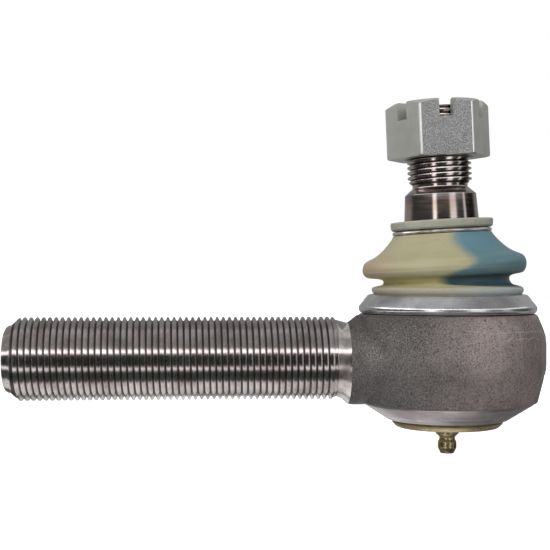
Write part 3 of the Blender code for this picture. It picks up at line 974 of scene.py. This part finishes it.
def cut_nut(nut):
    """The bore, and three cuts right across that make the six slots."""
    hole = STUD_R + 0.3
    bore = [
        (0, NUT_TOP + 1, 0), (hole + 1.4, NUT_TOP + 1, 0), (hole, NUT_TOP - 0.8, 0),
        (hole, NUT_BOTTOM + 0.8, 0), (hole + 1.4, NUT_BOTTOM - 1, 0), (0, NUT_BOTTOM - 1, 0),
    ]
    boolean(nut, lathe("nut_bore", bore, STUD, closed=False, segments=96), "DIFFERENCE")
    for number in range(3):
        bm = bmesh.new()
        matrix = (
            Matrix.Rotation(number * math.pi / 3, 4, "Z") @ Matrix.Translation((0, 0, NUT_TOP))
            @ Matrix.Diagonal((SLOT_WIDTH, 60, SLOT_DEPTH * 2, 1))
        )
        bmesh.ops.create_cube(bm, size=1.0, matrix=matrix)
        boolean(nut, finish_mesh("slot", bm, STUD), "DIFFERENCE")


def nut_slot_of(face):
    """Which of the nut's looks a face gets: 0 plain, 1 the worn front and back, 2 an upright edge, in a
    brighter copy that paints a highlight there.
    """
    turn = math.degrees(math.atan2(face.normal.y, face.normal.x)) % 60
    upright = abs(face.normal.z) < 0.2
    small = face.area < 0.6 * MM * 20 * MM
    if small and upright and abs(turn - 30) > 4:
        return 2
    return 1 if abs(face.normal.y) > 0.9 else 0


def make_nut(look, worn, edge):
    nut = nut_blank()
    cut_nut(nut)
    nut.data.shade_smooth()
    nut.data.set_sharp_from_angle(angle=math.radians(24))
    # edge is the brighter copy of the zinc that paints a highlight on the rounded upright edges.
    dress(nut, "nut", "white_zinc", look, worn, edge, replaces=["castle_nut"])
    for face in nut.data.polygons:
        face.material_index = nut_slot_of(face)


def dress_inside(looks):
    """The pieces sealed in the socket keep their CAD shapes and get the same finishes."""
    for name, look in looks.items():
        node = frame["nodes"][name]
        node.data.materials.clear()
        node.data.materials.append(look)


def compress_springs():
    """Gives each of the two springs a mesh of its own."""
    springs = [
        ("preload_spring", "wear_cup_travel", PRELOAD_SEAT, PRELOAD_HEIGHT),
        ("grease_check_spring", "check_valve_travel", CHECK_SPRING_SEAT, CHECK_SPRING_HEIGHT),
    ]
    for name, joint, seat, height in springs:
        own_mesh(frame["nodes"][name])


# ------------------------------------------------------------------ studio

# Lights and floor are in metres, the camera's own values in millimetres.
LIGHT_TARGET = Vector((0.1, 0, 0.02))
ROOM_POWER = 3.0
FLOOR_HEIGHT = -0.30
FLOOR_SIDE = 30
FLOOR_COLOUR = (0.9, 0.9, 0.9)
SENSOR_WIDTH = 36.0
LENS = 77.236
CAMERA_DISTANCE = 412.0
CAMERA_LEFT = 60.089
CAMERA_ABOVE = 28.700
CAMERA_YAW = math.radians(3.5)


def area_light(name, place, width, height, power):
    """A soft rectangle of light that faces the object and isn't seen in its reflections."""
    data = bpy.data.lights.new(name, "AREA")
    data.shape = "RECTANGLE"
    data.size = width
    data.size_y = height
    data.energy = power
    made = bpy.data.objects.new(name, data)
    bpy.context.scene.collection.objects.link(made)
    made.location = place
    made.rotation_euler = (LIGHT_TARGET - Vector(place)).to_track_quat("-Z", "Y").to_euler()
    made.visible_glossy = False


def make_floor():
    """A pale plain floor, which neither lights the object nor shows in its reflections."""
    bm = bmesh.new()
    bmesh.ops.create_grid(bm, x_segments=1, y_segments=1, size=0.5)
    mesh = bpy.data.meshes.new("floor")
    bm.to_mesh(mesh)
    bm.free()
    floor = bpy.data.objects.new("floor", mesh)
    bpy.context.scene.collection.objects.link(floor)
    place = Matrix.Translation((0.1, 0, FLOOR_HEIGHT))
    floor.matrix_world = place @ Matrix.Diagonal((FLOOR_SIDE, FLOOR_SIDE, 1, 1))
    look = bpy.data.materials.new("floor")
    look.use_nodes = True
    shader = look.node_tree.nodes["Principled BSDF"]
    shader.inputs["Base Color"].default_value = (*FLOOR_COLOUR, 1)
    shader.inputs["Roughness"].default_value = 0.9
    shader.inputs["Emission Color"].default_value = (*FLOOR_COLOUR, 1)
    shader.inputs["Emission Strength"].default_value = 1.0
    mesh.materials.append(look)
    floor.visible_glossy = False
    floor.visible_diffuse = False


def angle_ramp(nodes, angle, reach, stops):
    """A level that changes with an angle, from (degrees, level) stops between -reach and reach."""
    share = nodes.remap(angle, -math.radians(reach), math.radians(reach))
    placed = [((degrees + reach) / (2 * reach), (level, level, level)) for degrees, level in stops]
    return nodes.ramp(share, placed)


def fade(nodes, angle, start, end, low=0.0, high=1.0):
    """Turns smoothly from low at start to high at end, in degrees."""
    return nodes.remap(angle, math.radians(start), math.radians(end), low, high, smooth=True)


def room_light(nodes, direction):
    """How bright the room is in each direction, for the metal's reflections."""
    up = nodes.math("ARCSINE", direction[2])
    front = nodes.math("MULTIPLY", direction[1], -1.0)
    around = nodes.math("ARCTAN2", direction[0], front)
    off_front = nodes.math("ABSOLUTE", around)

    heights = angle_ramp(nodes, up, 90, [
        (-90, 0.34), (-68, 0.32), (-61, 0.03), (-32, 0.02), (-26, 0.45), (-23, 0.45), (-18, 0.01),
        (16, 0.01), (20, 0.95), (26, 0.95), (30, 0.12), (60, 0.13), (90, 0.18),
    ])
    leftward = nodes.remap(direction[0], -1.0, 1.0, 1.8, 0.5)
    bands = nodes.math("MULTIPLY", heights, leftward)

    patch = fade(nodes, off_front, 165, 178, 0.06, 0.36)
    back = nodes.blend(fade(nodes, up, -12, -24), 0.12, patch)
    hidden = nodes.math("MULTIPLY", fade(nodes, off_front, 105, 130), fade(nodes, up, -62, -54))
    bands = nodes.blend(hidden, bands, back)

    sides = angle_ramp(nodes, around, 180, [
        (-180, 0.0), (-38, 0.0), (-35, 0.8), (-27, 0.8), (-24, 0.0),
        (15, 0.0), (19, 0.5), (34, 0.5), (40, 0.01), (63, 0.01), (66, 0.4), (70, 0.4), (74, 0.0), (180, 0.0),
    ])
    level = fade(nodes, nodes.math("ABSOLUTE", up), 28, 12)
    strips = nodes.math("MULTIPLY", sides, level)
    return nodes.math("MULTIPLY", nodes.math("ADD", bands, strips), ROOM_POWER)


def make_world():
    """White where the camera sees it, and soft strips in a darker room for what the metal reflects."""
    world = bpy.data.worlds.new("studio")
    world.use_nodes = True
    nodes = Nodes(world.node_tree)
    background = nodes.tree.nodes["Background"]
    background.inputs["Color"].default_value = (1, 1, 1, 1)
    bpy.context.scene.world = world
    toward = nodes.node("ShaderNodeTexCoord").outputs["Generated"]
    direction = nodes.node("ShaderNodeSeparateXYZ", {0: toward}).outputs
    seen = nodes.node("ShaderNodeLightPath").outputs["Is Camera Ray"]
    strength = nodes.blend(seen, room_light(nodes, direction), 1.0)
    nodes.tree.links.new(strength, background.inputs["Strength"])


def make_studio():
    make_world()
    make_floor()
    area_light("key", (0.0, -0.8, 0.5), 0.6, 0.4, 3.5)
    area_light("top", (0.1, 0.1, 0.9), 1.0, 0.8, 2.5)
    bpy.context.scene.view_settings.view_transform = "Standard"


def make_camera():
    """Looks level, a little from the shank's end, at a point left of and above the ball centre."""
    forward = Vector((math.sin(CAMERA_YAW), math.cos(CAMERA_YAW), 0))
    right = Vector((math.cos(CAMERA_YAW), -math.sin(CAMERA_YAW), 0))
    data = bpy.data.cameras.new("camera")
    data.sensor_width = SENSOR_WIDTH
    data.lens = LENS
    data.clip_start = 0.01
    camera = bpy.data.objects.new("camera", data)
    bpy.context.scene.collection.objects.link(camera)
    middle = BALL - right * CAMERA_LEFT * MM + Vector((0, 0, CAMERA_ABOVE * MM))
    camera.location = middle - forward * CAMERA_DISTANCE * MM
    camera.rotation_euler = forward.to_track_quat("-Z", "Y").to_euler()
    bpy.context.scene.camera = camera


def main():
    make_camera()
    make_studio()
    forged = forged_steel()
    neck_steel = turned_steel("neck_steel", "#ece6e3", (1, 0, 0), 0.18, relief=0.1, plain=0.9)
    bevel_steel = turned_steel("bevel_steel", "#c6bcbd", (0, 0, 1), 0.3, 1600, "#a4999a")
    # Each thread's second colour is the painted shade in its roots.
    shank_thread = thread_steel(
        "shank_thread_steel", (0, 0, 0), (1, 0, 0), SHANK_R, SHANK_DEPTH,
        "#b9b2b1", "#45403e", 0.9, SHANK_THREAD_END,
    )
    stud_thread = thread_steel(
        "stud_thread_steel", BALL, STUD_AXIS, STUD_R, STUD_DEPTH, "#cbbfb8", "#2a2422", 0.86,
    )
    stud = stud_steel()
    yellow = yellow_zinc("yellow_zinc", ("#b5a57a", "#d0bb90", "#b3a278"), 0.34)
    olive = yellow_zinc("olive_zinc", ("#9d9272", "#c4b68e", "#776c54"), 0.24, 0.95)
    bright = turned_steel("bright_ring_steel", "#cfcbc8", (0, 0, 1), 0.15)
    race = turned_steel("race_steel", "#8f8a85", (0, 0, 1), 0.3)

    make_forging(forged, neck_steel, bevel_steel)
    make_shank(shank_thread)
    make_cover_plate(yellow)
    make_grease_fitting(olive)
    make_retainer(satin_zinc())
    make_boot(boot_rubber())
    make_top_ring(bright)
    make_seal_washer(seal_rubber())
    make_stud(stud, stud_thread)
    make_nut(
        nut_zinc("nut_zinc", "#c2c2bc", "#b6b6ad", 0.12),
        nut_zinc("nut_zinc_worn", "#909090", "#848482", 0.95),
        # Painted highlight: a brighter, mirror-like copy of the zinc for the rounded upright edges.
        nut_zinc("nut_zinc_edge_highlight", "#f8f8f6", "#ececea", 0.1, 1.0),
    )
    dress_inside({
        "upper_bearing": race, "lower_bearing": race, "preload_spring": race,
        "grease_check_ball": bright, "grease_check_spring": bright,
    })
    compress_springs()


main()
